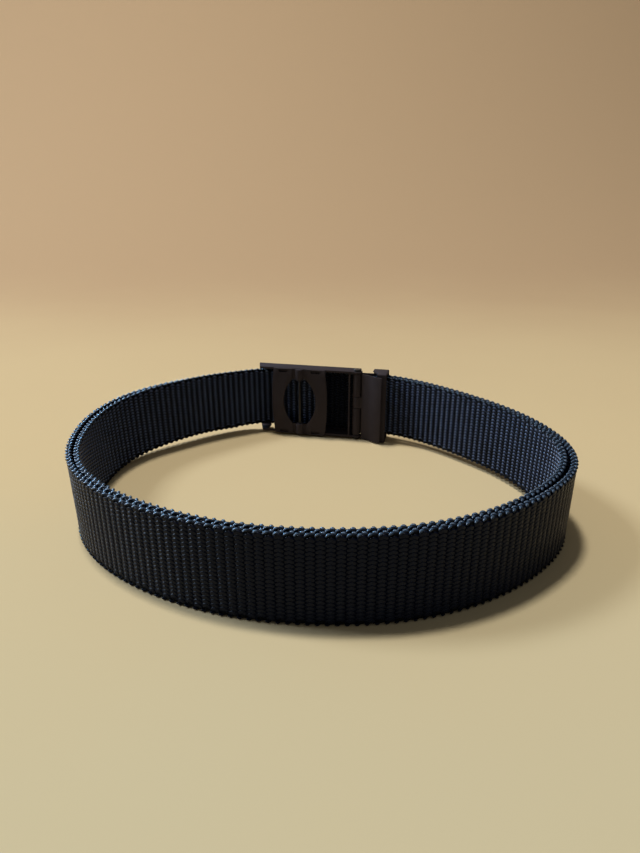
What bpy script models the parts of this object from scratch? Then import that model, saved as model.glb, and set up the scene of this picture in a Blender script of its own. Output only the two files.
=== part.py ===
"""Ribbed nylon belt, buckled into a double loop that stands on its lower edge.

Units in the tables are millimetres and +Z is up. The buckle is at the back (+Y), the plain
front of the loop is at -Y, and the origin is on the table under the middle of the loop.
Inside the buckle, u runs along the frame from its left end, v runs inward from the outer
face of the front plate towards the middle of the loop, and z is the height.
"""
import math

import bmesh
import bpy
import numpy as np
from mathutils import Vector

MM = 0.001
GAP = 0.3
CUT_OVER = 3.0      # how far a cutter runs past what it cuts
SINK = 0.05         # how far a joined piece starts inside its neighbour

# Webbing
STRAP_WIDTH = 35.0
STRAP_THICK = 2.5
RIB_PITCH = 3.3
RIB_DEPTH = 0.3
SCALLOP = 0.35
TIP_RADIUS = 14.0
ROUTE_SAMPLES = 4000

# Buckle place: outer left corner of the front plate, and its turn about Z
BUCKLE_X = -32.8
BUCKLE_Y = 96.2
BUCKLE_YAW = math.radians(-13.2)

# Front plate and rails
FRAME_LENGTH = 62.2
FRAME_LOW = 1.2
FRAME_HIGH = 41.4
FACE_THICK = 1.4
FACE_CHAMFER = 0.4
RAIL_THICK = 1.2
RAIL_DEPTH = 9.3
RAIL_SLANT = 4.6
RAIL_END = 57.2
RAIL_CORNER_V = 5.6
FACE_OVERHANG = 1.0
SLOT_LEFT = 6.0
SLOT_RIGHT = 13.0
SLOT_MARGIN = 2.2
NOTCH_DEPTH = 8.3   # how far the slot runs on over the lower rail
END_BAR_WIDTH = 0.9
END_BAR_DEPTH = 1.8
END_BAR_MARGIN = 0.5

# Back plate
PLATE_FRONT = RAIL_DEPTH + GAP
PLATE_THICK = 1.2
PLATE_LEFT = 10.4
PLATE_RIGHT = 43.8
PLATE_BULGE = 1.4
WINDOW_HALF = 9.85
WINDOW_TOP_HALF = 4.1
WINDOW_RISE = 13.8
LUG_RADIUS = 2.3
LUG_LENGTH = 6.4
GROOVE_HALF = 4.3
GROOVE_DEPTH = 0.7
GROOVE_LENGTH = 7.4
LUG_MARGIN = 0.2
TAB_LENGTH = 4.6
TAB_THICK = 1.0
TAB_INSET = 7.0
TAB_REACH = 0.4     # how far a tab stands into the back plate
TAB_ROOT = 3.3      # how far it runs along its rail
TAB_RISE = 0.7      # how far it stands clear of the rail's inner face

# Pins and roller
LOCK_PIN_RADIUS = 0.8
LOCK_PIN_MARGIN = 1.7
HINGE_U = 61.0
HINGE_V = 6.8
HINGE_PIN_RADIUS = 1.2
HINGE_HEAD_RADIUS = 2.1
HINGE_HEAD_THICK = 0.7
KNUCKLE_OUTER = 2.5
KNUCKLE_INNER = 1.5
EAR_RADIUS = 2.9
EAR_START = 53.2
ROLLER_U = 39.5
ROLLER_MARGIN = 2.2

# End clamp, flap and keeper
CLAMP_PLATE_THICK = 0.8
CLAMP_PLATE_END = 78.2
ROLL_EXIT = 2.4
ROLL_RAMP = 0.8
NECK_LOW = 19.5
NECK_HIGH = 26.1
FLAP_LOW = 0.6
FLAP_HIGH = 39.9
FLAP_THICK = 1.0
KEEPER_LEFT = 69.5
KEEPER_RIGHT = 78.5
KEEPER_OUTER_V = -0.6
KEEPER_INNER_V = 11.6
KEEPER_HIGH = 41.5
KEEPER_WALL = 1.0
KEEPER_SLANT = 3.6
KEEPER_SLANT_OUT = 4.0
KEEPER_TAB_MARGIN = 0.6

# Plan of the loop, from the keeper clockwise to the left end of the frame. x and y lie on the
# inner face of the outer layer, gap is the air between the layers, low_in and low_out are the
# heights of the lower edges of the inner and the outer layer, and lean is how far the upper edge
# stands outside the lower one.
PLAN = [
    # x, y, gap, low_in, low_out, lean
    (50.1, 71.5, 1.5, 3.8, 3.7, 0.0),
    (65.2, 59.7, 0.8, 3.3, 3.2, 0.1),
    (81.5, 41.2, 0.5, 2.9, 2.7, 0.3),
    (95.5, 21.0, 0.4, 2.4, 2.1, 0.4),
    (104.5, -1.4, 0.6, 1.8, 1.5, 0.5),
    (107.1, -20.4, 1.1, 1.2, 0.9, 0.5),
    (103.3, -39.9, 1.7, 0.6, 0.4, 0.4),
    (86.4, -62.8, 1.1, 0.1, 0.1, 0.2),
    (60.9, -81.4, 0.4, 0.0, 0.0, 0.0),
    (34.4, -91.1, 0.3, 0.0, 0.0, 0.0),
    (3.4, -93.5, 0.3, 0.0, 0.0, 0.0),
    (-29.2, -88.3, 0.3, 0.0, 0.0, 0.0),
    (-60.6, -73.8, 0.3, 0.0, 0.0, 0.1),
    (-84.7, -53.1, 0.3, 0.0, 0.0, 0.5),
    (-98.8, -29.4, 0.7, 0.1, 0.0, 1.0),
    (-105.0, -3.4, 1.3, 0.4, 0.2, 1.4),
    (-105.5, 21.6, 1.5, 0.9, 0.6, 1.5),
    (-97.7, 44.2, 1.4, 2.2, 1.8, 1.4),
    (-81.3, 62.5, 1.2, 3.7, 2.9, 1.0),
    (-62.1, 78.2, 1.0, 4.1, 2.6, 0.5),
    (-42.7, 88.9, 0.7, 4.0, 2.1, 0.2),
]

# Centre of the webbing inside the buckle
CLAMPED_END = [
    # u, v, low
    (66.4, 6.65, 4.0),
    (72.0, 6.65, 4.0),
    (79.0, 6.65, 3.9),
]
THROUGH_FRAME = [
    # u, v, low
    (-1.2, 6.6, 4.0),
    (4.0, 4.2, 4.0),
    (10.0, 3.1, 4.0),
    (20.0, 2.95, 4.0),
    (40.0, 2.95, 4.0),
    (57.0, 2.95, 4.0),
    (66.0, 2.45, 4.0),
    (74.0, 2.1, 4.0),
    (80.0, 2.4, 3.9),
]
TIP_POINT = (-3.2, 4.6, 2.0)

# Near side of the clamp flap, from its hinge to its free end
FLAP_SIDE = [
    # u, v, lag of the far side behind the near one
    (63.9, 8.6, 0.0),
    (67.6, 9.6, 0.2),
    (70.2, 11.4, 0.4),
    (72.4, 13.3, 0.2),
    (76.0, 14.3, 0.0),
]

WEBBING = ("webbing", (0.012, 0.014, 0.022, 1.0), 0.85, 0.0)
BLACK_METAL = ("black_metal", (0.030, 0.026, 0.024, 1.0), 0.42, 0.6)
DARK_STEEL = ("dark_steel", (0.060, 0.055, 0.052, 1.0), 0.30, 0.9)


def clear_scene():
    for item in list(bpy.data.objects):
        bpy.data.objects.remove(item, do_unlink=True)


def make_material(spec):
    name, colour, roughness, metallic = spec
    material = bpy.data.materials.new(name)
    material.use_nodes = True
    shader = material.node_tree.nodes["Principled BSDF"]
    shader.inputs["Base Color"].default_value = colour
    shader.inputs["Roughness"].default_value = roughness
    shader.inputs["Metallic"].default_value = metallic
    return material


def add_mesh(name, points, faces, parent=None, material=None):
    """An object from points in millimetres; faces are turned to point outwards."""
    mesh = bpy.data.meshes.new(name)
    mesh.from_pydata([Vector(p) * MM for p in points], [], faces)
    shape = bmesh.new()
    shape.from_mesh(mesh)
    bmesh.ops.recalc_face_normals(shape, faces=shape.faces)
    shape.to_mesh(mesh)
    shape.free()
    item = bpy.data.objects.new(name, mesh)
    bpy.context.collection.objects.link(item)
    item.parent = parent
    if material:
        mesh.materials.append(material)
    return item


def extrude(name, outline, start, end, axis, parent=None, material=None):
    """A prism: the outline's two numbers are the two other axes in the order x, y, z."""
    def point(pair, level):
        if axis == "x":
            return (level, pair[0], pair[1])
        if axis == "y":
            return (pair[0], level, pair[1])
        return (pair[0], pair[1], level)

    count = len(outline)
    points = [point(pair, start) for pair in outline] + [point(pair, end) for pair in outline]
    faces = [tuple(range(count)), tuple(range(count, 2 * count))]
    for i in range(count):
        j = (i + 1) % count
        faces.append((i, j, count + j, count + i))
    return add_mesh(name, points, faces, parent, material)


def box(name, low, high, parent=None, material=None):
    outline = [(low[0], low[1]), (high[0], low[1]), (high[0], high[1]), (low[0], high[1])]
    return extrude(name, outline, low[2], high[2], "z", parent, material)


def arc(centre, radius, start, end, steps):
    """Points on an arc, with its angles in degrees."""
    turns = np.radians(np.linspace(start, end, steps + 1))
    return [(centre[0] + radius * math.cos(a), centre[1] + radius * math.sin(a)) for a in turns]


def shade_round(item):
    """Smooth shading over the round stretches, with the corners kept crisp."""
    item.data.shade_smooth()
    item.data.set_sharp_from_angle(angle=math.radians(40))


def cylinder(name, centre, radius, low, high, sides, parent=None, material=None):
    outline = arc(centre, radius, 0, 360 - 360 / sides, sides - 1)
    item = extrude(name, outline, low, high, "z", parent, material)
    shade_round(item)
    return item


def combine(item, tool, operation):
    """Joins or cuts with a tool, which stays in the scene as a wire guide."""
    tool.hide_render = True
    tool.display_type = "WIRE"
    modifier = item.modifiers.new(tool.name, "BOOLEAN")
    modifier.object = tool
    modifier.operation = operation
    modifier.solver = "EXACT"


def bevel_edges(item, width):
    modifier = item.modifiers.new("edge_bevel", "BEVEL")
    modifier.width = width * MM
    modifier.segments = 1
    modifier.limit_method = "ANGLE"
    modifier.angle_limit = math.radians(50)


def smooth_curve(points, samples):
    """A natural cubic spline through rows of numbers, on their plan distance."""
    rows = np.array(points, dtype=float)
    steps = np.hypot(*np.diff(rows[:, :2], axis=0).T)
    knots = np.concatenate([[0.0], np.cumsum(steps)])
    count = len(knots)
    system = np.eye(count)
    right = np.zeros_like(rows)
    for i in range(1, count - 1):
        before, after = steps[i - 1], steps[i]
        system[i, i - 1:i + 2] = before, 2 * (before + after), after
        right[i] = 6 * ((rows[i + 1] - rows[i]) / after - (rows[i] - rows[i - 1]) / before)
    bend = np.linalg.solve(system, right)
    places = np.linspace(0, knots[-1], samples)
    spans = np.clip(np.searchsorted(knots, places, side="right") - 1, 0, count - 2)
    size = steps[spans][:, None]
    a = (knots[spans + 1] - places)[:, None]
    b = (places - knots[spans])[:, None]
    first, second = bend[spans], bend[spans + 1]
    return (first * a ** 3 + second * b ** 3) / (6 * size) \
        + (rows[spans] / size - first * size / 6) * a \
        + (rows[spans + 1] / size - second * size / 6) * b


def even_curve(curve, step):
    """The same curve with points an even distance apart along its plan."""
    run = np.concatenate([[0.0], np.cumsum(np.hypot(*np.diff(curve[:, :2], axis=0).T))])
    count = int(round(run[-1] / step))
    places = np.linspace(0, run[-1], count + 1)
    return np.stack([np.interp(places, run, column) for column in curve.T], axis=1), run[-1]


def plan_normals(curve):
    """Unit normals of a clockwise plan, pointing away from the middle of the loop."""
    along = np.gradient(curve[:, :2], axis=0)
    along /= np.linalg.norm(along, axis=1)[:, None]
    return np.stack([-along[:, 1], along[:, 0]], axis=1)


def from_buckle(u, v):
    """Plan point of a place in the buckle."""
    cos, sin = math.cos(BUCKLE_YAW), math.sin(BUCKLE_YAW)
    return BUCKLE_X + u * cos + v * sin, BUCKLE_Y + u * sin - v * cos


def strap_route():
    """Centre line of the webbing, x, y, lower edge and lean, from its clamped end to its tip."""
    stations = np.array(PLAN)
    outward = plan_normals(stations)
    half = STRAP_THICK / 2
    inner = stations[:, :2] - outward * (half + stations[:, 2])[:, None]
    outer = stations[:, :2] + outward * half
    route = [(*from_buckle(u, v), low, 0) for u, v, low in CLAMPED_END]
    route += [(x, y, low, lean) for (x, y), low, lean in zip(inner, *stations[:, [3, 5]].T)]
    route += [(*from_buckle(u, v), low, 0) for u, v, low in THROUGH_FRAME]
    route += [(x, y, low, lean) for (x, y), low, lean in zip(outer, *stations[:, [4, 5]].T)]
    u, v, low = TIP_POINT
    route.append((*from_buckle(u, v), low, 0))
    return smooth_curve(route, ROUTE_SAMPLES)


def make_strap(material):
    """Webbing swept along its route: each rib is a raised section between two low ones."""
    route, length = even_curve(strap_route(), RIB_PITCH / 2)
    normals = plan_normals(route)
    step = length / (len(route) - 1)
    points = []
    for i, (x, y, low, lean) in enumerate(route):
        in_groove = i % 2 == 0
        half = STRAP_THICK / 2 - (RIB_DEPTH if in_groove else 0)
        trim = SCALLOP if in_groove else 0
        to_tip = (len(route) - 1 - i) * step
        if to_tip < TIP_RADIUS:
            trim += TIP_RADIUS - math.sqrt(TIP_RADIUS ** 2 - (TIP_RADIUS - to_tip) ** 2)
        low = max(low, 0.0)
        bottom, top = low + trim, low + STRAP_WIDTH - trim
        for side, height in ((-half, bottom), (half, bottom), (half + lean, top),
                             (lean - half, top)):
            out_x, out_y = normals[i] * side
            points.append((x + out_x, y + out_y, height))
    faces = [(0, 1, 2, 3), tuple(len(points) - 4 + k for k in range(4))]
    for i in range(len(route) - 1):
        for k in range(4):
            a, b = 4 * i + k, 4 * i + (k + 1) % 4
            faces.append((a, b, b + 4, a + 4))
    return add_mesh("strap", points, faces, None, material)


def make_face_frame(buckle, material):
    """Front plate and rails as one channel, with ears for the hinge and tabs for the plate."""
    low, high, edge = FRAME_LOW, FRAME_HIGH, FACE_CHAMFER
    channel = [(0, low + edge), (0, high - edge), (-edge, high), (-RAIL_DEPTH, high),
               (-RAIL_DEPTH, high - RAIL_THICK), (-FACE_THICK, high - RAIL_THICK),
               (-FACE_THICK, low + RAIL_THICK), (-RAIL_DEPTH, low + RAIL_THICK),
               (-RAIL_DEPTH, low), (-edge, low)]
    frame = extrude("face_frame", channel, 0, FRAME_LENGTH, "x", buckle, material)
    beyond = -RAIL_DEPTH - CUT_OVER
    left = [(-CUT_OVER, -FACE_THICK), (0, -FACE_THICK), (RAIL_SLANT, beyond), (-CUT_OVER, beyond)]
    right = [(FRAME_LENGTH + CUT_OVER, -FACE_THICK), (FRAME_LENGTH + CUT_OVER, beyond),
             (RAIL_END, beyond), (RAIL_END, -RAIL_CORNER_V),
             (FRAME_LENGTH - FACE_OVERHANG, -FACE_THICK)]
    for name, outline in (("rail_trim_left", left), ("rail_trim_right", right)):
        trim = extrude(name, outline, low - CUT_OVER, high + CUT_OVER, "z", buckle)
        combine(frame, trim, "DIFFERENCE")
    slot = box("face_slot", (SLOT_LEFT, -FACE_THICK - CUT_OVER, low + SLOT_MARGIN),
               (SLOT_RIGHT, CUT_OVER, high - SLOT_MARGIN), buckle)
    combine(frame, slot, "DIFFERENCE")
    notch = box("rail_notch", (SLOT_LEFT, -NOTCH_DEPTH, low - CUT_OVER),
                (SLOT_RIGHT, CUT_OVER, low + SLOT_MARGIN + SINK), buckle)
    combine(frame, notch, "DIFFERENCE")
    root = -FACE_THICK / 2
    ear = [(EAR_START, root), (EAR_START, -HINGE_V - EAR_RADIUS / 2)]
    ear += arc((HINGE_U, -HINGE_V), EAR_RADIUS, -95, 60, 12)
    ear += [(FRAME_LENGTH - FACE_OVERHANG - EAR_RADIUS / 6, root)]
    for name, level in (("ear_low", low), ("ear_high", high - RAIL_THICK)):
        solid = extrude(name, ear, level + SINK, level + RAIL_THICK - SINK, "z", buckle)
        combine(frame, solid, "UNION")
    hole = cylinder("hinge_hole", (HINGE_U, -HINGE_V), HINGE_PIN_RADIUS + GAP,
                    low - CUT_OVER, high + CUT_OVER, 16, buckle)
    combine(frame, hole, "DIFFERENCE")
    bar = box("end_bar", (RAIL_END - END_BAR_WIDTH, -RAIL_DEPTH + SINK, low + END_BAR_MARGIN),
              (RAIL_END - SINK, -RAIL_DEPTH + END_BAR_DEPTH, high - END_BAR_MARGIN), buckle)
    combine(frame, bar, "UNION")
    for name, u, level in tab_places():
        tab = box(name, (u, -PLATE_FRONT - TAB_REACH, level),
                  (u + TAB_LENGTH, -PLATE_FRONT + TAB_ROOT, level + TAB_THICK), buckle)
        combine(frame, tab, "UNION")
    return frame


def tab_places():
    """Name, left end and lower face of the four tabs that pass through the back plate."""
    middle = (PLATE_LEFT + PLATE_RIGHT) / 2
    offset = (PLATE_RIGHT - PLATE_LEFT) / 2 - TAB_INSET
    low = FRAME_LOW + RAIL_THICK + TAB_RISE - TAB_THICK
    high = FRAME_HIGH - RAIL_THICK - TAB_RISE
    return [(f"tab_{side}_{end}", middle + sign * offset - TAB_LENGTH / 2, level)
            for side, sign in (("left", -1), ("right", 1))
            for end, level in (("low", low), ("high", high))]


def barrel_outline():
    """Back plate outline in u and z: upright sides that bulge a little at mid height."""
    half = (FRAME_HIGH - FRAME_LOW) / 2
    middle = (FRAME_HIGH + FRAME_LOW) / 2
    radius = (half ** 2 + PLATE_BULGE ** 2) / (2 * PLATE_BULGE)
    reach = math.degrees(math.asin(half / radius))
    right = arc((PLATE_RIGHT - radius, middle), radius, -reach, reach, 8)
    left = arc((PLATE_LEFT + radius, middle), radius, 180 - reach, 180 + reach, 8)
    return right + left


def window_outline():
    """Pointed oval with its two points cut off by the lugs."""
    middle_u = (PLATE_LEFT + PLATE_RIGHT) / 2
    middle_z = (FRAME_HIGH + FRAME_LOW) / 2
    bulge = WINDOW_HALF - WINDOW_TOP_HALF
    radius = (WINDOW_RISE ** 2 + bulge ** 2) / (2 * bulge)
    reach = math.degrees(math.asin(WINDOW_RISE / radius))
    right = arc((middle_u + WINDOW_HALF - radius, middle_z), radius, -reach, reach, 12)
    left = arc((middle_u - WINDOW_HALF + radius, middle_z), radius, 180 - reach, 180 + reach, 12)
    return right + left


def make_back_plate(buckle, material):
    """Barrel shaped plate with its window, tab slots and the two lugs that hold the lock pin."""
    front, back = -PLATE_FRONT, -PLATE_FRONT - PLATE_THICK
    axis_v = front - GAP
    plate = extrude("back_plate", barrel_outline(), back, front, "y", buckle, material)
    window = extrude("window", window_outline(), back - CUT_OVER, front + CUT_OVER, "y", buckle)
    combine(plate, window, "DIFFERENCE")
    middle = (PLATE_LEFT + PLATE_RIGHT) / 2
    for name, low, high in (("groove_low", FRAME_LOW - CUT_OVER, FRAME_LOW + GROOVE_LENGTH),
                            ("groove_high", FRAME_HIGH - GROOVE_LENGTH, FRAME_HIGH + CUT_OVER)):
        groove = box(name, (middle - GROOVE_HALF, back - CUT_OVER, low),
                     (middle + GROOVE_HALF, back + GROOVE_DEPTH, high), buckle)
        combine(plate, groove, "DIFFERENCE")
    for name, u, level in tab_places():
        slot = box("slot_for_" + name, (u - GAP, back - CUT_OVER, level - GAP),
                   (u + TAB_LENGTH + GAP, front + CUT_OVER, level + TAB_THICK + GAP), buckle)
        combine(plate, slot, "DIFFERENCE")
    for name, low in (("lug_low", FRAME_LOW + LUG_MARGIN),
                      ("lug_high", FRAME_HIGH - LUG_LENGTH - LUG_MARGIN)):
        lug = cylinder(name, (middle, axis_v), LUG_RADIUS, low, low + LUG_LENGTH, 20, buckle)
        combine(plate, lug, "UNION")
    rail_face = RAIL_THICK + GAP
    for name, low, high in (
            ("rail_room_low", FRAME_LOW - CUT_OVER, FRAME_LOW + rail_face),
            ("rail_room_high", FRAME_HIGH - rail_face, FRAME_HIGH + CUT_OVER)):
        room = box(name, (middle - LUG_RADIUS - GAP, front, low),
                   (middle + LUG_RADIUS + GAP, front + LUG_RADIUS, high), buckle)
        combine(plate, room, "DIFFERENCE")
    bore_end = LOCK_PIN_MARGIN - GAP
    bore = cylinder("pin_bore", (middle, axis_v), LOCK_PIN_RADIUS + GAP,
                    FRAME_LOW + bore_end, FRAME_HIGH - bore_end, 16, buckle)
    combine(plate, bore, "DIFFERENCE")
    return plate


def make_pins(buckle, material):
    """Thin pin across the window, and the headed pin of the clamp's hinge."""
    middle = (PLATE_LEFT + PLATE_RIGHT) / 2
    cylinder("lock_pin", (middle, -PLATE_FRONT - GAP), LOCK_PIN_RADIUS,
             FRAME_LOW + LOCK_PIN_MARGIN, FRAME_HIGH - LOCK_PIN_MARGIN, 14, buckle, material)
    axis = (HINGE_U, -HINGE_V)
    head_low, head_high = FRAME_LOW - GAP - HINGE_HEAD_THICK, FRAME_HIGH + GAP
    inside_head = HINGE_HEAD_THICK / 2
    pin = cylinder("hinge_pin", axis, HINGE_PIN_RADIUS, head_low + inside_head,
                   head_high + inside_head, 14, buckle, material)
    for name, low in (("head_low", head_low), ("head_high", head_high)):
        head = cylinder(name, axis, HINGE_HEAD_RADIUS, low, low + HINGE_HEAD_THICK, 16, buckle)
        combine(pin, head, "UNION")


def make_grip_roller(buckle, material):
    """Hidden bar that nips the webbing against the front plate."""
    webbing_face = FACE_THICK + GAP + STRAP_THICK
    radius = (PLATE_FRONT - webbing_face) / 2 - GAP
    cylinder("grip_roller", (ROLLER_U, -(PLATE_FRONT + webbing_face) / 2), radius,
             FRAME_LOW + ROLLER_MARGIN, FRAME_HIGH - ROLLER_MARGIN, 18, buckle, material)


def make_end_clamp(buckle, material):
    """Rolled knuckles and the plate that runs from them between the layers of webbing."""
    centre = (HINGE_U, -HINGE_V)
    face = -HINGE_V + KNUCKLE_OUTER
    roll_back = -HINGE_V + KNUCKLE_INNER
    plate_back = face - CLAMP_PLATE_THICK
    outline = arc(centre, KNUCKLE_OUTER, 90, 330, 16)
    outline += arc(centre, KNUCKLE_INNER, 330, 90, 16)
    outline += [(HINGE_U + ROLL_EXIT, roll_back), (HINGE_U + ROLL_EXIT + ROLL_RAMP, plate_back),
                (CLAMP_PLATE_END, plate_back), (CLAMP_PLATE_END, face)]
    inside = RAIL_THICK + GAP
    clamp = extrude("end_clamp", outline, FRAME_LOW + inside, FRAME_HIGH - inside, "z",
                    buckle, material)
    shade_round(clamp)
    around = KNUCKLE_OUTER + KNUCKLE_INNER
    notch = box("knuckle_notch", (HINGE_U - around, -HINGE_V - around, NECK_LOW - GAP),
                (HINGE_U + ROLL_EXIT + ROLL_RAMP, face + KNUCKLE_INNER, NECK_HIGH + GAP), buckle)
    combine(clamp, notch, "DIFFERENCE")
    tab_left = KEEPER_LEFT + KEEPER_SLANT + KEEPER_TAB_MARGIN
    tab_end = KEEPER_WALL + GAP
    tabs = box("keeper_tabs", (tab_left, plate_back + SINK, tab_end),
               (CLAMP_PLATE_END - KEEPER_TAB_MARGIN, face - SINK, KEEPER_HIGH - tab_end), buckle)
    combine(clamp, tabs, "UNION")
    return clamp


def make_clamp_flap(buckle, material):
    """Stepped jaw plate with its middle knuckle and neck on the hinge pin."""
    near = [(u, -v) for u, v, lag in FLAP_SIDE]
    far = [(u - lag, -v + FLAP_THICK) for u, v, lag in FLAP_SIDE]
    flap = extrude("clamp_flap", near + far[::-1], FLAP_LOW, FLAP_HIGH, "z", buckle, material)
    centre = (HINGE_U, -HINGE_V)
    knuckle = cylinder("flap_knuckle", centre, KNUCKLE_OUTER, NECK_LOW, NECK_HIGH, 20, buckle)
    combine(flap, knuckle, "UNION")
    root_u, root_v = FLAP_SIDE[0][:2]
    neck = box("flap_neck", (HINGE_U + KNUCKLE_INNER + GAP, -root_v + SINK, NECK_LOW + SINK),
               (root_u + FLAP_THICK, -root_v + FLAP_THICK - SINK, NECK_HIGH - SINK), buckle)
    combine(flap, neck, "UNION")
    bore = cylinder("flap_bore", centre, KNUCKLE_INNER, NECK_LOW - CUT_OVER,
                    NECK_HIGH + CUT_OVER, 16, buckle)
    combine(flap, bore, "DIFFERENCE")
    return flap


def make_keeper(buckle, material):
    """Flat metal loop round both layers, narrower on its inner side."""
    outer, inner, wall = -KEEPER_OUTER_V, -KEEPER_INNER_V, KEEPER_WALL
    ring = [(outer, 0), (outer, KEEPER_HIGH), (inner, KEEPER_HIGH), (inner, 0)]
    keeper = extrude("keeper", ring, KEEPER_LEFT, KEEPER_RIGHT, "x", buckle, material)
    bevel_edges(keeper, KEEPER_WALL / 2)
    left = KEEPER_LEFT - CUT_OVER
    hole = box("keeper_hole", (left, inner + wall, wall),
               (KEEPER_RIGHT + CUT_OVER, outer - wall, KEEPER_HIGH - wall), buckle)
    combine(keeper, hole, "DIFFERENCE")
    slant_right = KEEPER_LEFT + KEEPER_SLANT
    slant = [(left, outer - KEEPER_SLANT_OUT), (KEEPER_LEFT, outer - KEEPER_SLANT_OUT),
             (slant_right, inner + 2 * wall), (slant_right, inner - CUT_OVER),
             (left, inner - CUT_OVER)]
    trim = extrude("keeper_trim", slant, -CUT_OVER, KEEPER_HIGH + CUT_OVER, "z", buckle)
    combine(keeper, trim, "DIFFERENCE")
    return keeper


def build():
    clear_scene()
    webbing = make_material(WEBBING)
    black_metal = make_material(BLACK_METAL)
    dark_steel = make_material(DARK_STEEL)
    buckle = bpy.data.objects.new("buckle_place", None)
    bpy.context.collection.objects.link(buckle)
    buckle.location = (BUCKLE_X * MM, BUCKLE_Y * MM, 0)
    buckle.rotation_euler = (0, 0, BUCKLE_YAW)
    make_strap(webbing)
    make_face_frame(buckle, black_metal)
    make_back_plate(buckle, black_metal)
    make_pins(buckle, dark_steel)
    make_grip_roller(buckle, dark_steel)
    make_end_clamp(buckle, black_metal)
    make_clamp_flap(buckle, black_metal)
    make_keeper(buckle, black_metal)


build()
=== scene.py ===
"""Looks of the nylon belt: woven webbing, enamelled buckle, a pale table and soft studio light."""
import math

import bmesh
import bpy
import numpy as np
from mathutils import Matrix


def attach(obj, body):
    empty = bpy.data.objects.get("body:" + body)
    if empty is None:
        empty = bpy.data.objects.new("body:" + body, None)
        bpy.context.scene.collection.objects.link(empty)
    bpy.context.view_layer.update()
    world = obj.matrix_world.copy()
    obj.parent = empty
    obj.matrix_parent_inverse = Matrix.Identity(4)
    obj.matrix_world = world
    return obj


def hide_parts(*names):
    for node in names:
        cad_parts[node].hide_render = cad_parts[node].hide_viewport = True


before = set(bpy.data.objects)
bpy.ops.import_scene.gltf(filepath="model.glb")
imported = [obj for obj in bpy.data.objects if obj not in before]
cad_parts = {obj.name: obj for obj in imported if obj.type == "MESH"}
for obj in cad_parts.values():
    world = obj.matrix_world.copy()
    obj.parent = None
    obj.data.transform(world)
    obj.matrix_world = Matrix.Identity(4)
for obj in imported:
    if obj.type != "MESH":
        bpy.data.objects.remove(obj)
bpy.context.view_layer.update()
MM = 0.001


# Camera. A hand-held camera looks down at the loop from the plain front, about 13 cm above the
# table and 26 cm from the middle of the belt.
CAMERA_PLACE = (3.4 * MM, -259.4 * MM, 131.3 * MM)
CAMERA_PITCH = 20.3
FOCAL_PIXELS = 600
PHOTO_HEIGHT = 853
SENSOR = 36

bpy.ops.object.select_all(action="DESELECT")
bpy.ops.object.camera_add(location=CAMERA_PLACE, rotation=(math.radians(90 - CAMERA_PITCH), 0, 0))
camera = bpy.context.object
camera.data.sensor_width = SENSOR
camera.data.lens = SENSOR * FOCAL_PIXELS / PHOTO_HEIGHT
camera.data.clip_start = 10 * MM
bpy.context.scene.camera = camera


# Table. The belt stands on a plain pale wooden top, which curves up behind it into a backdrop.
# The plane is drawn out at its back edge and spun into the sweep.
TABLE_FRONT = -1.5
TABLE_BACK = 0.55
TABLE_SIDE = 4.0
SWEEP_RADIUS = 1.3
SWEEP_STEPS = 32
# The top's colour: a greener tone at the front, its middle tone, and painted shade that darkens it
# towards the back and up the sweep.
TABLE_NEAR = (0.565, 0.510, 0.345, 1)
TABLE_MIDDLE = (0.600, 0.490, 0.300, 1)
TABLE_FAR_SHADE = (0.450, 0.325, 0.205, 1)
NEAR_TO_MIDDLE = (-0.15, 0.15)
MIDDLE_TO_FAR_SHADE = (0.05, 0.95)
TONE_WANDER = 0.16

bpy.ops.object.select_all(action="DESELECT")
bpy.ops.mesh.primitive_plane_add(size=2)
table = bpy.context.object
table.name = "table_top"
bpy.ops.object.mode_set(mode="EDIT")
bpy.ops.mesh.select_all(action="SELECT")
bpy.ops.transform.resize(value=(TABLE_SIDE, (TABLE_BACK - TABLE_FRONT) / 2, 1),
                         center_override=(0, 0, 0))
bpy.ops.transform.translate(value=(0, (TABLE_BACK + TABLE_FRONT) / 2, 0))
bpy.ops.mesh.select_mode(type="EDGE")
bpy.ops.mesh.select_all(action="DESELECT")
shape = bmesh.from_edit_mesh(table.data)
for edge in shape.edges:
    edge.select_set(all(v.co.y > TABLE_BACK - MM for v in edge.verts))
bmesh.update_edit_mesh(table.data)
bpy.ops.mesh.spin(steps=SWEEP_STEPS, angle=math.radians(-90),
                  center=(0, TABLE_BACK, SWEEP_RADIUS), axis=(1, 0, 0))
bpy.ops.object.mode_set(mode="OBJECT")
if max(v.co.z for v in table.data.vertices) < MM:
    raise SystemExit("the table's back edge turned the wrong way")
bpy.ops.object.shade_smooth()


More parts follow.
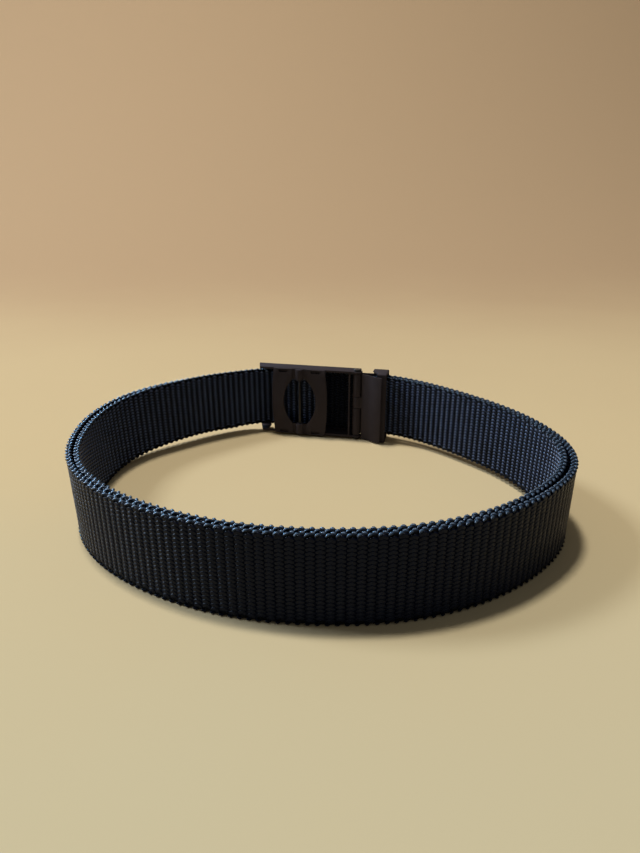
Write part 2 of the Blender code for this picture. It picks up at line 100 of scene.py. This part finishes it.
class Socket:
    """A shader socket that takes part in Python expressions, which add Math nodes."""

    def __init__(self, tree, link):
        self.tree = tree
        self.link = link

    def node(self, kind, settings=None, **values):
        """Any other node, with its settings first and then its sockets' values or links."""
        made = self.tree.nodes.new(kind)
        for key, value in (settings or {}).items():
            setattr(made, key, value)
        for key, value in values.items():
            number = key.removeprefix("input_")
            slot = made.inputs[int(number) if number.isdigit() else key.replace("_", " ")]
            if isinstance(value, Socket):
                self.tree.links.new(slot, value.link)
            else:
                slot.default_value = value
        return made

    def out(self, kind, settings=None, output=0, **values):
        """One output of such a node, by its name or its number."""
        return Socket(self.tree, self.node(kind, settings, **values).outputs[output])

    def math(self, operation, first, second):
        """A Math node on two sockets or numbers."""
        return self.out("ShaderNodeMath", {"operation": operation}, input_0=first, input_1=second)

    def __add__(self, other):
        return self.math("ADD", self, other)

    def __radd__(self, other):
        return self.math("ADD", other, self)

    def __sub__(self, other):
        return self.math("SUBTRACT", self, other)

    def __rsub__(self, other):
        return self.math("SUBTRACT", other, self)

    def __mul__(self, other):
        return self.math("MULTIPLY", self, other)

    def __rmul__(self, other):
        return self.math("MULTIPLY", other, self)

    def rise(self, low, high):
        """0 below low, 1 above high, smooth in between."""
        return self.out("ShaderNodeMapRange", {"interpolation_type": "SMOOTHSTEP"},
                        Value=self, From_Min=low, From_Max=high)

    def mix(self, first, second):
        """A colour between two others, by this socket."""
        return self.out("ShaderNodeMix", {"data_type": "RGBA"}, output=2,
                        input_0=self, input_6=first, input_7=second)


def new_material(name, **fixed):
    """A Principled material with its fixed values, its shader and a socket to start from."""
    material = bpy.data.materials.new(name)
    material.use_nodes = True
    tree = material.node_tree
    shader = tree.nodes["Principled BSDF"]
    for key, value in fixed.items():
        shader.inputs[key.replace("_", " ")].default_value = value
    return material, shader, Socket(tree, None)


def feed(shader, **links):
    """Links what changes over the surface to the shader's own sockets."""
    for key, value in links.items():
        value.tree.links.new(shader.inputs[key.replace("_", " ")], value.link)


pale_wood, shader, start = new_material("pale_wood", Roughness=0.8, Specular_IOR_Level=0.0)
place = start.out("ShaderNodeTexCoord", output="Object")
cloud = start.out("ShaderNodeTexNoise", Vector=place, Scale=5.0, Detail=3.0)
back = start.out("ShaderNodeSeparateXYZ", output="Y", Vector=place) + cloud * TONE_WANDER
tone = back.rise(*NEAR_TO_MIDDLE).mix(TABLE_NEAR, TABLE_MIDDLE)
# painted shade: the back of the top and the sweep are darker
feed(shader, Base_Color=back.rise(*MIDDLE_TO_FAR_SHADE).mix(tone, TABLE_FAR_SHADE))
table.data.materials.append(pale_wood)


# Lamps. The main lamp hangs nearly overhead, a little to the back left, and a cool window stands
# at the left. Two more lamps give gloss alone: one at the left that glints on the yarns of the
# right bend, and a blue one far back at the left that runs along the upper edges.
LAMPS = [
    # name, place, size, power, colour, gives gloss alone
    ("ceiling_lamp", (-0.50, 0.48, 3.50), 0.40, 80, (1.0, 0.94, 0.84), False),
    ("left_window", (-1.75, 0.40, 1.95), 0.60, 33, (0.86, 0.93, 1.0), False),
    ("left_glint", (-1.95, 0.57, 1.03), 0.80, 150, (0.56, 0.74, 1.0), True),
    ("back_glint", (-0.77, 1.23, 0.50), 0.36, 24, (0.22, 0.56, 1.0), True),
]
ROOM_COLOUR = (1.0, 0.96, 0.90, 1)
ROOM_STRENGTH = 0.14

for name, place, size, power, colour, gloss_alone in LAMPS:
    bpy.ops.object.light_add(type="AREA", location=place)
    lamp = bpy.context.object
    lamp.name = name
    lamp.rotation_euler = lamp.location.to_track_quat("Z", "Y").to_euler()
    lamp.data.size = size
    lamp.data.energy = power
    lamp.data.color = colour
    lamp.visible_camera = False
    lamp.visible_diffuse = not gloss_alone
room = bpy.data.worlds.new("room")
room.use_nodes = True
room.node_tree.nodes["Background"].inputs["Color"].default_value = ROOM_COLOUR
room.node_tree.nodes["Background"].inputs["Strength"].default_value = ROOM_STRENGTH
bpy.context.scene.world = room
bpy.context.scene.view_settings.view_transform = "Standard"


# Strap core. The webbing is woven nylon 35 mm wide. It starts in the end clamp, makes the inner
# round, passes through the buckle and makes the outer round to its tip. The core carries the
# picks, which raise the upright ribs.
STRAP_WIDTH = 35.0
STRAP_THICK = 2.5
RIB_PITCH = 3.3
TIP_RADIUS = 14.0
BUCKLE_X = -32.8
BUCKLE_Y = 96.2
BUCKLE_YAW = math.radians(-13.2)
PLAN = [
    # x, y, gap, low_in, low_out, lean, in millimetres, as in the solids
    (50.1, 71.5, 1.5, 3.8, 3.7, 0.0),
    (65.2, 59.7, 0.8, 3.3, 3.2, 0.1),
    (81.5, 41.2, 0.5, 2.9, 2.7, 0.3),
    (95.5, 21.0, 0.4, 2.4, 2.1, 0.4),
    (104.5, -1.4, 0.6, 1.8, 1.5, 0.5),
    (107.1, -20.4, 1.1, 1.2, 0.9, 0.5),
    (103.3, -39.9, 1.7, 0.6, 0.4, 0.4),
    (86.4, -62.8, 1.1, 0.1, 0.1, 0.2),
    (60.9, -81.4, 0.4, 0.0, 0.0, 0.0),
    (34.4, -91.1, 0.3, 0.0, 0.0, 0.0),
    (3.4, -93.5, 0.3, 0.0, 0.0, 0.0),
    (-29.2, -88.3, 0.3, 0.0, 0.0, 0.0),
    (-60.6, -73.8, 0.3, 0.0, 0.0, 0.1),
    (-84.7, -53.1, 0.3, 0.0, 0.0, 0.5),
    (-98.8, -29.4, 0.7, 0.1, 0.0, 1.0),
    (-105.0, -3.4, 1.3, 0.4, 0.2, 1.4),
    (-105.5, 21.6, 1.5, 0.9, 0.6, 1.5),
    (-97.7, 44.2, 1.4, 2.2, 1.8, 1.4),
    (-81.3, 62.5, 1.2, 3.7, 2.9, 1.0),
    (-62.1, 78.2, 1.0, 4.1, 2.6, 0.5),
    (-42.7, 88.9, 0.7, 4.0, 2.1, 0.2),
]
CLAMPED_END = [
    # u along the buckle, v inward, low
    (66.4, 6.65, 4.0),
    (72.0, 6.65, 4.0),
    (79.0, 6.65, 3.9),
]
THROUGH_FRAME = [
    # u along the buckle, v inward, low
    (-1.2, 6.6, 4.0),
    (4.0, 4.2, 4.0),
    (10.0, 3.1, 4.0),
    (20.0, 2.95, 4.0),
    (40.0, 2.95, 4.0),
    (57.0, 2.95, 4.0),
    (66.0, 2.45, 4.0),
    (74.0, 2.1, 4.0),
    (80.0, 2.4, 3.9),
]
TIP_POINT = (-3.2, 4.6, 2.0)
ROUTE_SAMPLES = 4000
CORE_GROOVE = 0.32
CORE_CREST = 0.78
CORE_EDGE = 0.5
CORE_ROUND = 0.3
CORE_STEPS = 3
CORE_OUTLINE = [
    # side as a share of the half thickness, at the top, inset from that edge
    (-1, 0, 1), (-1, 1, -1), (-0.6, 1, 0), (0.6, 1, 0),
    (1, 1, -1), (1, 0, 1), (0.6, 0, 0), (-0.6, 0, 0),
]
CORE_DARK = (0.0015, 0.002, 0.004, 1)
CORE_LIGHT = (0.004, 0.005, 0.009, 1)


def from_buckle(u, v):
    """Plan point, in millimetres, of a place in the buckle."""
    cos, sin = math.cos(BUCKLE_YAW), math.sin(BUCKLE_YAW)
    return BUCKLE_X + u * cos + v * sin, BUCKLE_Y + u * sin - v * cos


def smooth_curve(points, samples):
    """A natural cubic spline through rows of numbers, on their plan distance."""
    rows = np.array(points, dtype=float)
    steps = np.hypot(*np.diff(rows[:, :2], axis=0).T)
    knots = np.concatenate([[0.0], np.cumsum(steps)])
    count = len(knots)
    system = np.eye(count)
    right = np.zeros_like(rows)
    for i in range(1, count - 1):
        before, after = steps[i - 1], steps[i]
        system[i, i - 1:i + 2] = before, 2 * (before + after), after
        right[i] = 6 * ((rows[i + 1] - rows[i]) / after - (rows[i] - rows[i - 1]) / before)
    bend = np.linalg.solve(system, right)
    places = np.linspace(0, knots[-1], samples)
    spans = np.clip(np.searchsorted(knots, places, side="right") - 1, 0, count - 2)
    size = steps[spans][:, None]
    ahead = (knots[spans + 1] - places)[:, None]
    behind = (places - knots[spans])[:, None]
    first, second = bend[spans], bend[spans + 1]
    return (first * ahead ** 3 + second * behind ** 3) / (6 * size) \
        + (rows[spans] / size - first * size / 6) * ahead \
        + (rows[spans + 1] / size - second * size / 6) * behind


def plan_normals(curve):
    """Unit normals of the clockwise plan, pointing away from the middle of the loop."""
    along = np.gradient(curve[:, :2], axis=0)
    along /= np.linalg.norm(along, axis=1)[:, None]
    return np.stack([-along[:, 1], along[:, 0]], axis=1)


stations = np.array(PLAN)
outward = plan_normals(stations)
half_thick = STRAP_THICK / 2
inner_round = stations[:, :2] - outward * (half_thick + stations[:, 2])[:, None]
outer_round = stations[:, :2] + outward * half_thick
stops = [(*from_buckle(u, v), low, 0) for u, v, low in CLAMPED_END]
stops += [(x, y, low, lean) for (x, y), low, lean in zip(inner_round, *stations[:, [3, 5]].T)]
stops += [(*from_buckle(u, v), low, 0) for u, v, low in THROUGH_FRAME]
stops += [(x, y, low, lean) for (x, y), low, lean in zip(outer_round, *stations[:, [4, 5]].T)]
stops.append((*from_buckle(*TIP_POINT[:2]), TIP_POINT[2], 0))
route = smooth_curve(stops, ROUTE_SAMPLES)
route_normal = plan_normals(route)
route_run = np.concatenate([[0.0], np.cumsum(np.hypot(*np.diff(route[:, :2], axis=0).T))])
strap_length = route_run[-1]
half_ribs = int(round(strap_length / (RIB_PITCH / 2)))
half_rib = strap_length / half_ribs


def on_strap(run, side, height):
    """World points from places on the strap, in millimetres: the run along it, the side out
    from its middle plane and the height over its lower edge."""
    x, y, low, lean = (np.interp(run, route_run, column) for column in route.T)
    turn_x, turn_y = (np.interp(run, route_run, column) for column in route_normal.T)
    side = side + lean * height / STRAP_WIDTH
    return np.stack([x + turn_x * side, y + turn_y * side, np.maximum(low, 0) + height], -1) * MM


def rib_rise(run):
    """1 on the crest of a rib and 0 in the groove between two."""
    return np.sin(math.pi * run / (2 * half_rib)) ** 2


def tip_trim(run):
    """How far the round tip has drawn each edge in."""
    left = np.clip(TIP_RADIUS - (strap_length - run), 0, TIP_RADIUS)
    return TIP_RADIUS - np.sqrt(TIP_RADIUS ** 2 - left ** 2)


core_run = np.linspace(0, strap_length, half_ribs * CORE_STEPS + 1)
core_half = CORE_GROOVE + (CORE_CREST - CORE_GROOVE) * rib_rise(core_run)
core_low = CORE_EDGE + tip_trim(core_run)
core_high = STRAP_WIDTH - core_low
round_off = np.minimum(CORE_ROUND, (core_high - core_low) / 4)
rings = []
for side, at_top, inset in CORE_OUTLINE:
    border = core_high if at_top else core_low
    rings.append(on_strap(core_run, side * core_half, border + inset * round_off))
core_points = np.stack(rings, 1).reshape(-1, 3)
sides = len(CORE_OUTLINE)
first_end = tuple(range(sides))[::-1]
last_end = tuple(range(len(core_points) - sides, len(core_points)))
core_faces = [first_end, last_end]
for i in range(len(core_run) - 1):
    for k in range(sides):
        a, b = sides * i + k, sides * i + (k + 1) % sides
        core_faces.append((a, b, b + sides, a + sides))
core_mesh = bpy.data.meshes.new("strap_core")
core_mesh.from_pydata(core_points, [], core_faces)
core = bpy.data.objects.new("strap_core", core_mesh)
bpy.context.collection.objects.link(core)
bpy.ops.object.select_all(action="DESELECT")
core.select_set(True)
bpy.context.view_layer.objects.active = core
bpy.ops.object.mode_set(mode="EDIT")
bpy.ops.mesh.select_all(action="SELECT")
bpy.ops.mesh.normals_make_consistent(inside=False)
bpy.ops.object.mode_set(mode="OBJECT")
bpy.ops.object.shade_smooth()

core_yarn, shader, start = new_material("core_yarn", Roughness=0.85, Specular_IOR_Level=0.1)
place = start.out("ShaderNodeTexCoord", output="Object")
fleck = start.out("ShaderNodeTexNoise", Vector=place, Scale=900.0, Detail=2.0)
feed(shader, Base_Color=fleck.mix(CORE_DARK, CORE_LIGHT))
core.data.materials.append(core_yarn)
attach(core, "root")
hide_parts("strap")


# Face yarns. Warp yarns cross each rib as a chevron: up to its crest and down again, with a dark
# hole where they dive between two ribs. Both faces carry them, and the two faces that the rounds
# press together have a plainer yarn.
ROW_PITCH = 1.6
YARN_RISE = 1.30
YARN_CREST = 0.98
EDGE_ROOM = 0.7
# shares of half a yarn's length: where its crown turns over, where its crown gets painted
# highlight, where it is cut
CROWN_TURN = 0.12
CROWN_HIGHLIGHT_REACH = 0.3
LEG_CUT = 0.55
YARN_CUTS = (-LEG_CUT, -CROWN_TURN, CROWN_TURN, LEG_CUT)
YARN_KINDS = {
    # kind: sides round the yarn, width, half thickness, side and taper of its feet, cuts along it
    "raised": (6, 1.06, 0.38, 0.24, 0.46, YARN_CUTS),
    "flat": (6, 2.00, 0.17, 0.66, 0.80, YARN_CUTS),
    "hidden": (4, 1.30, 0.34, 0.24, 0.46, (0.0,)),
}
INNER, OUTER = -1, 1
# weights in each yarn's colour of its random tone, of the noise patches and of the painted
# highlight on the crowns
SHADE_PART, PATCH_PART, CROWN_HIGHLIGHT_PART = 0.12, 0.12, 0.76
STRAND_DEPTH = 0.05 * MM


def model_yarn(name, sides, cuts):
    """A short straight yarn along X from -1 to 1, cut into stretches to be bent later."""
    bpy.ops.object.select_all(action="DESELECT")
    bpy.ops.mesh.primitive_cylinder_add(vertices=sides, radius=1, depth=2)
    yarn = bpy.context.object
    yarn.name = name
    bpy.ops.object.mode_set(mode="EDIT")
    bpy.ops.mesh.select_all(action="SELECT")
    bpy.ops.transform.rotate(value=math.radians(90), orient_axis="Y", center_override=(0, 0, 0))
    for cut in cuts:
        bpy.ops.mesh.select_all(action="SELECT")
        bpy.ops.mesh.bisect(plane_co=(cut, 0, 0), plane_no=(1, 0, 0))
    bpy.ops.mesh.select_all(action="SELECT")
    bpy.ops.mesh.normals_make_consistent(inside=False)
    bpy.ops.object.mode_set(mode="OBJECT")
    points = np.array([v.co for v in yarn.data.vertices])
    faces = [tuple(p.vertices) for p in yarn.data.polygons]
    bpy.data.objects.remove(yarn)
    return points, faces


def chevron(points, yarn_width, half_thickness, foot, foot_taper):
    """Bends the straight yarn over a rib: run, side and height in millimetres."""
    along, across, up = points.T
    slope = -np.sign(along) * np.clip(np.abs(along) / CROWN_TURN - 1, 0, 1)
    lean = slope * YARN_RISE / np.hypot(YARN_RISE, half_rib)
    upright = np.sqrt(1 - lean ** 2)
    taper = foot_taper + (1 - foot_taper) * np.sqrt(np.clip(1 - along ** 2, 0, 1))
    width = across * taper * yarn_width / 2
    run = along * half_rib - width * lean
    height = (1 - np.abs(along)) * YARN_RISE + width * upright
    arch = np.cos(along * math.pi / 2)
    side = foot + (YARN_CREST - foot) * arch + up * taper * half_thickness
    return run, side, height


def yarn_shape(straight, faces, bent, half_length, crown_highlight):
    """One yarn: its faces and, point by point, its run, side and height on the strap, the two
    coordinates of its own map, and how much painted highlight the point gets on the outward middle
    of the yarn."""
    run, side, height = bent
    around = np.arctan2(straight[:, 2], straight[:, 1]) / math.tau
    return {"faces": faces, "run": run, "side": side, "height": height,
            "along": straight[:, 0] * half_length, "around": around, "crown_highlight": crown_highlight}


def lay_yarns(name, yarn, places, to_strap):
    """One mesh of many yarns. Each place is a row of numbers for to_strap to read, from the
    yarn's run to its shade."""
    faces = yarn["faces"]
    count, each = len(places), len(yarn["run"])
    points = to_strap(yarn, places).reshape(-1, 3)
    corners = [len(face) for face in faces]
    loops = np.concatenate(faces)
    all_loops = (loops[None, :] + np.arange(count)[:, None] * each).ravel()
    mesh = bpy.data.meshes.new(name)
    mesh.vertices.add(len(points))
    mesh.vertices.foreach_set("co", points.astype(np.float32).ravel())
    mesh.loops.add(len(all_loops))
    mesh.loops.foreach_set("vertex_index", all_loops.astype(np.int32))
    starts = np.concatenate([[0], np.cumsum(np.tile(corners, count))[:-1]])
    mesh.polygons.add(count * len(faces))
    mesh.polygons.foreach_set("loop_start", starts.astype(np.int32))
    mesh.polygons.foreach_set("use_smooth", [True] * (count * len(faces)))
    mesh.update(calc_edges=True)
    along = np.tile(yarn["along"], count) + np.repeat(places[:, 0], each)
    around = np.tile(yarn["around"], count)
    shade = np.repeat(places[:, -1], each)
    crown_highlight = np.tile(yarn["crown_highlight"], count)
    mesh.uv_layers.new(name="weave")
    uv = np.stack([along, around], 1)[all_loops]
    mesh.uv_layers["weave"].data.foreach_set("uv", uv.astype(np.float32).ravel())
    for attribute, values in (("yarn_shade", shade), ("yarn_crown_highlight", crown_highlight)):
        mesh.attributes.new(attribute, "FLOAT", "POINT")
        mesh.attributes[attribute].data.foreach_set("value", values.astype(np.float32))
    made = bpy.data.objects.new(name, mesh)
    bpy.context.collection.objects.link(made)
    return made


def face_places(first, last, face, seed):
    """Run, face, height and shade of each yarn between two ribs of the strap. The rows of one
    rib lie half a step above those of the next."""
    rows = int((STRAP_WIDTH - 2 * EDGE_ROOM - YARN_RISE) / ROW_PITCH) + 1
    spare = (STRAP_WIDTH - YARN_RISE - (rows - 1) * ROW_PITCH) / 2
    rib, row = np.meshgrid(np.arange(first, last), np.arange(rows), indexing="ij")
    run = (2 * rib.ravel() + 1) * half_rib
    stagger = (rib.ravel() % 2 - 0.5) * ROW_PITCH / 2
    height = spare + row.ravel() * ROW_PITCH + stagger
    trim = tip_trim(run + half_rib) + EDGE_ROOM
    kept = (height > trim) & (height + YARN_RISE < STRAP_WIDTH - trim)
    shade = np.random.default_rng(seed).uniform(0, 1, len(run))
    return np.stack([run, np.full(len(run), face), height, shade], 1)[kept]


def face_to_strap(yarn, places):
    """World points of the yarns on one face. A yarn of the inner face is turned about."""
    run, face, height = (places[:, column, None] for column in range(3))
    return on_strap(run + yarn["run"] * face, yarn["side"] * face, height + yarn["height"])


yarn_shapes = {}
for kind, (sides, *yarn_form, cuts) in YARN_KINDS.items():
    straight, faces = model_yarn("yarn_" + kind, sides, cuts)
    bent = chevron(straight, *yarn_form)
    # painted highlight: the outward half of each yarn, near its middle over the rib's crest, is
    # lighter
    crown_highlight = (np.abs(straight[:, 0]) < CROWN_HIGHLIGHT_REACH) * np.clip(straight[:, 2], 0, 1)
    yarn_shapes[kind] = yarn_shape(straight, faces, bent, half_rib, crown_highlight)


def webbing(name, hollow_black_and_shade, crest_highlight, gloss):
    """Black nylon yarn, deepened by painted shade off its crowns and made bluer and lighter on
    them by a painted highlight, with its strands as fine relief.
    """
    material, shader, start = new_material(name, Specular_IOR_Level=gloss)
    weave = start.out("ShaderNodeUVMap", {"uv_map": "weave"})
    place = start.out("ShaderNodeTexCoord", output="Object")
    shade = start.out("ShaderNodeAttribute", {"attribute_name": "yarn_shade"}, output="Fac")
    crown_highlight = start.out("ShaderNodeAttribute", {"attribute_name": "yarn_crown_highlight"}, output="Fac")
    patch = start.out("ShaderNodeTexNoise", Vector=place, Scale=45.0, Detail=3.0)
    strands = start.out("ShaderNodeTexWave", {"bands_direction": "Y"}, Vector=weave, Scale=1.9,
                        Distortion=0.6, Detail=1.0)
    # painted highlight on the crowns over the near-black and painted shade of the rest, plus
    # random tone
    dye_and_painted_light = (shade * SHADE_PART + patch * PATCH_PART + crown_highlight * CROWN_HIGHLIGHT_PART).mix(hollow_black_and_shade, crest_highlight)
    bump = start.out("ShaderNodeBump", Strength=0.4, Distance=STRAND_DEPTH, Height=strands)
    feed(shader, Base_Color=dye_and_painted_light, Roughness=0.30 + shade * 0.12, Normal=bump)
    return material


# Lit and shaded copies of one webbing. The inner copy has bright painted highlights on the crowns
# and deep painted shade in the rest; the outer copy is dimmed by painted shade and serves the
# outer faces, the faces the rounds press together and the lower edge.
inner_webbing_lit = webbing("inner_webbing_lit", hollow_black_and_shade=(0.0008, 0.0014, 0.0054, 1),
                        crest_highlight=(0.110, 0.170, 0.360, 1), gloss=0.26)
outer_webbing_shaded = webbing("outer_webbing_shaded", hollow_black_and_shade=(0.0032, 0.0052, 0.0150, 1),
                        crest_highlight=(0.0052, 0.0085, 0.0220, 1), gloss=0.09)

rib_count = half_ribs // 2
middle_rib = rib_count // 2
quarter = middle_rib // 2
for name, kind, material, first, last, face, seed in (
        ("yarns_inner_right", "raised", inner_webbing_lit, 1, quarter, INNER, 11),
        ("yarns_inner_left", "raised", inner_webbing_lit, quarter, middle_rib, INNER, 12),
        ("yarns_outer_right", "flat", outer_webbing_shaded, middle_rib, middle_rib + quarter, OUTER, 13),
        ("yarns_outer_left", "flat", outer_webbing_shaded, middle_rib + quarter, rib_count, OUTER, 14),
        ("yarns_hidden_inner", "hidden", outer_webbing_shaded, 1, middle_rib, OUTER, 15),
        ("yarns_hidden_outer", "hidden", outer_webbing_shaded, middle_rib, rib_count, INNER, 16)):
    places = face_places(first, last, face, seed)
    made = lay_yarns(name, yarn_shapes[kind], places, face_to_strap)
    made.data.materials.append(material)
    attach(made, "root")
    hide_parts("strap")


# Selvedge. Along both edges the yarns turn from one face to the other in two rows of short
# slanting loops, one to a rib in each row, which catch the light as a dotted braid; the upper
# edge's dots are helped by painted highlights.
LOOP_SIDES = 6
LOOP_CUTS = (-0.6, 0.0, 0.6)
LOOP_LENGTH = 2.3
LOOP_WIDTH = 1.25
LOOP_THICK = 0.50
LOOP_TAPER = 0.8
LOOP_DROOP = 0.45
LOOP_LEAN = math.radians(35.0)
LOOP_SIDE = 0.60
LOOP_SWELL = 0.14
LOOP_SINK = 0.56
LOOP_STAGGER = 0.5
LOOP_SHADES = (0.2, 1)
BARE_TIP = 0.4 * TIP_RADIUS

straight, faces = model_yarn("selvedge_loop", LOOP_SIDES, LOOP_CUTS)
along, across, up = straight.T
loop_arch = np.sqrt(np.clip(1 - LOOP_TAPER * along ** 2, 0, 1))
bent = (along * LOOP_LENGTH / 2, across * loop_arch * LOOP_WIDTH / 2,
        up * loop_arch * LOOP_THICK - LOOP_DROOP * along ** 2)
# painted highlight: the outward middle of each loop is lighter
crown_highlight = (1 - along ** 2) ** 2 * np.clip(up, 0, 1)
selvedge_loop = yarn_shape(straight, faces, bent, LOOP_LENGTH / 2, crown_highlight)


def edge_places(seed):
    """Run, row across the thickness and shade of each loop along one edge."""
    ribs, rows = np.meshgrid(np.arange(1, rib_count), (-1.0, 1.0), indexing="ij")
    run = (2 * ribs.ravel() + 1 + LOOP_STAGGER * rows.ravel()) * half_rib
    shade = np.random.default_rng(seed).uniform(*LOOP_SHADES, len(run))
    kept = run < strap_length - BARE_TIP
    return np.stack([run, rows.ravel(), shade], 1)[kept]


def edge_to_strap(at_top):
    """What finds the world points of the loops along the upper or the lower edge."""
    def to_strap(loop, places):
        middle, row = places[:, 0, None], places[:, 1, None]
        cos, sin = math.cos(LOOP_LEAN), math.sin(LOOP_LEAN) * row
        run = middle + loop["run"] * cos - loop["side"] * sin
        side = row * LOOP_SIDE + loop["run"] * sin + loop["side"] * cos
        swell = rib_rise(middle) * LOOP_SWELL
        reach = loop["height"] + swell - LOOP_SINK - tip_trim(middle)
        return on_strap(run, side, STRAP_WIDTH + reach if at_top else -reach)
    return to_strap


# A lit copy of the webbing for the upper edge, with bright blue painted highlights on the loops;
# the lower edge takes the shaded copy.
edge_webbing_lit = webbing("edge_webbing_lit", hollow_black_and_shade=(0.0012, 0.0022, 0.0080, 1),
                       crest_highlight=(0.044, 0.092, 0.170, 1), gloss=0.22)

for name, at_top, material, seed in (("selvedge_upper", True, edge_webbing_lit, 21),
                                     ("selvedge_lower", False, outer_webbing_shaded, 22)):
    made = lay_yarns(name, selvedge_loop, edge_places(seed), edge_to_strap(at_top))
    made.data.materials.append(material)
    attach(made, "root")
    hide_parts("strap")


# Pressed and rolled metal of the buckle. The plates are zinc alloy and steel under thin black
# enamel, with small rounded edges where the coating is thin and a little rubbed. The pins and the
# grip roller are blackened steel.
PRESS_EDGE = {
    # node: radius of its rounded edges in millimetres
    "face_frame": 0.24,
    "back_plate": 0.24,
    "end_clamp": 0.16,
    "clamp_flap": 0.20,
    "keeper": 0.24,
    "hinge_pin": 0.22,
    "lock_pin": 0.15,
    "grip_roller": 0.3,
}
ROUNDING_STEPS = 3
SHARP = math.radians(32)
FLAT = math.radians(0.5)
WELD_REACH = 0.002 * MM
WEAR_PER_TURN = 1.6
RUBBED_BARE = (1.45, 1.75)
PAINT_DARK = (0.0375, 0.0318, 0.0370, 1)
PAINT_LIGHT = (0.0485, 0.0412, 0.0475, 1)
PAINT_GRAIN = 0.02 * MM
BARE_METAL = (0.10, 0.095, 0.09, 1)
STEEL_DARK = (0.020, 0.019, 0.019, 1)
STEEL_LIGHT = (0.036, 0.034, 0.034, 1)

enamel, shader, start = new_material("black_enamel", Coat_Roughness=0.25, Specular_IOR_Level=0.01)
place = start.out("ShaderNodeTexCoord", output="Object")
worn = start.out("ShaderNodeAttribute", {"attribute_name": "worn_edge"}, output="Fac")
cloud = start.out("ShaderNodeTexNoise", Vector=place, Scale=160.0, Detail=4.0)
grain = start.out("ShaderNodeTexNoise", Vector=place, Scale=2600.0, Detail=2.0)
rub = start.out("ShaderNodeTexNoise", Vector=place, Scale=420.0, Detail=5.0, Roughness=0.7)
bare = (worn + rub).rise(*RUBBED_BARE)
paint = cloud.mix(PAINT_DARK, PAINT_LIGHT)
bump = start.out("ShaderNodeBump", Strength=0.25, Distance=PAINT_GRAIN, Height=grain)
feed(shader, Base_Color=bare.mix(paint, BARE_METAL), Normal=bump,
     Roughness=0.50 + cloud * 0.14 - bare * 0.16, Metallic=0.01 + bare * 0.6,
     Coat_Weight=bare * 0.02)

steel, shader, start = new_material("blackened_steel", Metallic=0.5, Specular_IOR_Level=0.3)
place = start.out("ShaderNodeTexCoord", output="Object")
cloud = start.out("ShaderNodeTexNoise", Vector=place, Scale=500.0, Detail=3.0)
feed(shader, Base_Color=cloud.mix(STEEL_DARK, STEEL_LIGHT), Roughness=0.34 + cloud * 0.16)


def press(node, material):
    """A copy of a node's solid with its facets joined and its edges rounded, in its place."""
    bpy.ops.object.select_all(action="DESELECT")
    made = bpy.data.objects.new("pressed_" + node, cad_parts[node].data.copy())
    bpy.context.collection.objects.link(made)
    made.select_set(True)
    bpy.context.view_layer.objects.active = made
    bpy.ops.object.mode_set(mode="EDIT")
    bpy.ops.mesh.select_all(action="SELECT")
    bpy.ops.mesh.remove_doubles(threshold=WELD_REACH)
    bpy.ops.mesh.dissolve_limited(angle_limit=FLAT)
    bpy.ops.object.mode_set(mode="OBJECT")
    rounding = made.modifiers.new("rounding", "BEVEL")
    rounding.width = PRESS_EDGE[node] * MM
    rounding.segments = ROUNDING_STEPS
    rounding.limit_method = "ANGLE"
    rounding.angle_limit = SHARP
    rounding.use_clamp_overlap = True
    bpy.ops.object.modifier_apply(modifier="rounding")
    bpy.ops.object.shade_smooth_by_angle(angle=SHARP)
    shape = bmesh.new()
    shape.from_mesh(made.data)
    turns = [max([e.calc_face_angle_signed(0.0) for e in v.link_edges] + [0.0])
             for v in shape.verts]
    shape.free()
    wear = np.clip(np.array(turns) * WEAR_PER_TURN, 0, 1)
    made.data.attributes.new("worn_edge", "FLOAT", "POINT")
    made.data.attributes["worn_edge"].data.foreach_set("value", wear)
    made.data.materials.clear()
    made.data.materials.append(material)
    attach(made, "root")
    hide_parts(node)


for node in ("face_frame", "back_plate", "end_clamp", "clamp_flap", "keeper"):
    press(node, enamel)
for node in ("hinge_pin", "lock_pin", "grip_roller"):
    press(node, steel)
